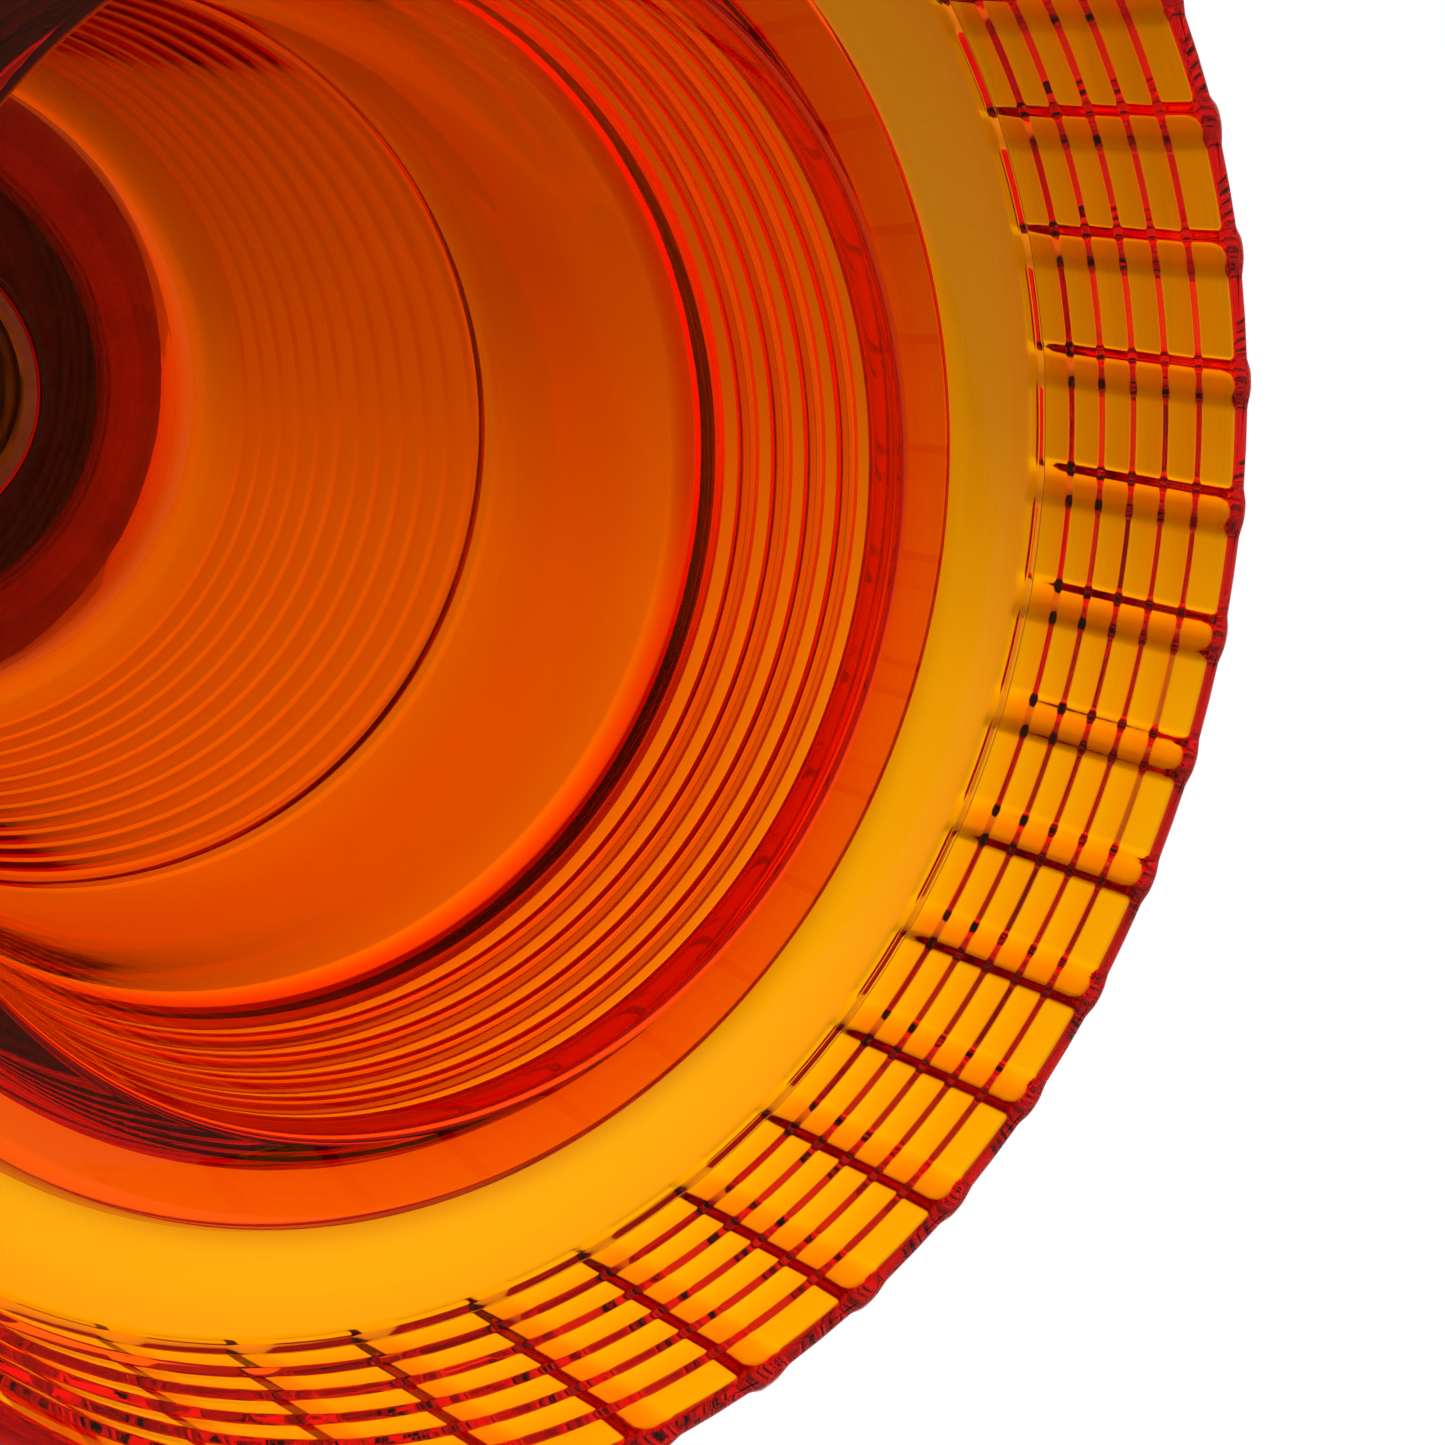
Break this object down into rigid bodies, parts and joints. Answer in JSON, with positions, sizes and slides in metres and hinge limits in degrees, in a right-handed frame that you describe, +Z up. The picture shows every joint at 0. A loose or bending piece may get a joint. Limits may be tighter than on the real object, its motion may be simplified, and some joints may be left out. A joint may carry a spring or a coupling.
{
  "type": "clamp-top glass pin insulator",
  "caption": "Hollow ribbed amber glass bell on a threaded pin socket, cemented into a metal cap that carries a tilting bolted conductor clamp.",
  "frame": {"origin": "centre of the open rim's plane, at the bottom of the bell", "axes": "+Z up the axis from the open rim to the clamp; +X along the conductor; +Y along the trunnion pin"},
  "size_m": [0.1365, 0.1366, 0.3108],
  "materials": {
    "amber_glass": "clear pressed glass, fire polished",
    "zinc": "cast zinc alloy, dull grey",
    "cement": "Portland cement, matt and slightly pitted",
    "cork": "granulated cork, matt",
    "galvanised_iron": "hot-dip galvanised casting, satin",
    "galvanised_steel": "hot-dip galvanised, satin",
    "stainless": "stainless steel wire and strip, bright",
    "cast_aluminium": "sand-cast, satin",
    "soft_aluminium": "rolled soft aluminium, smooth"
  },
  "bodies": {
    "insulator": {"glass_shell": "amber_glass", "pin_thimble": "zinc", "thimble_cement": "cement", "thimble_pad": "cork", "head_cement": "cement", "cap_pad": "cork", "metal_cap": "galvanised_iron", "trunnion_pin": "galvanised_steel", "pin_washer": "galvanised_steel", "cotter_pin": "stainless"},
    "clamp": {"saddle": "cast_aluminium", "saddle_liner": "soft_aluminium", "clamp_nuts": "galvanised_steel"},
    "keeper": {"keeper": "cast_aluminium", "keeper_liner": "soft_aluminium", "flat_washers": "galvanised_steel", "lock_washers": "galvanised_steel"},
    "bolt_1": {"clamp_bolt_1": "galvanised_steel", "retaining_clip_1": "stainless"},
    "bolt_2": {"clamp_bolt_2": "galvanised_steel", "retaining_clip_2": "stainless"},
    "bolt_3": {"clamp_bolt_3": "galvanised_steel", "retaining_clip_3": "stainless"},
    "bolt_4": {"clamp_bolt_4": "galvanised_steel", "retaining_clip_4": "stainless"}
  },
  "joints": [
    {"name": "clamp_tilt", "type": "hinge", "parent": "insulator", "child": "clamp", "pos_m": [0, 0, 0.252], "axis": [0, 1, 0], "range_deg": [-20, 20]},
    {"name": "keeper_lift", "type": "slide", "parent": "clamp", "child": "keeper", "axis": [0, 0, 1], "range_m": [0, 0.007]},
    {"name": "bolt_1_turn", "type": "hinge", "parent": "keeper", "child": "bolt_1", "pos_m": [0.024, 0.0225, 0.3], "axis": [0, 0, 1], "range_deg": [0, 1440]},
    {"name": "bolt_2_turn", "type": "hinge", "parent": "keeper", "child": "bolt_2", "pos_m": [0.024, -0.0225, 0.3], "axis": [0, 0, 1], "range_deg": [0, 1440]},
    {"name": "bolt_3_turn", "type": "hinge", "parent": "keeper", "child": "bolt_3", "pos_m": [-0.024, -0.0225, 0.3], "axis": [0, 0, 1], "range_deg": [0, 1440]},
    {"name": "bolt_4_turn", "type": "hinge", "parent": "keeper", "child": "bolt_4", "pos_m": [-0.024, 0.0225, 0.3], "axis": [0, 0, 1], "range_deg": [0, 1440]}
  ],
  "couplings": [
    {"joint": "bolt_1_turn", "follows": "keeper_lift", "rad_per_m": 3590.4},
    {"joint": "bolt_2_turn", "follows": "keeper_lift", "rad_per_m": 3590.4},
    {"joint": "bolt_3_turn", "follows": "keeper_lift", "rad_per_m": 3590.4},
    {"joint": "bolt_4_turn", "follows": "keeper_lift", "rad_per_m": 3590.4}
  ]
}
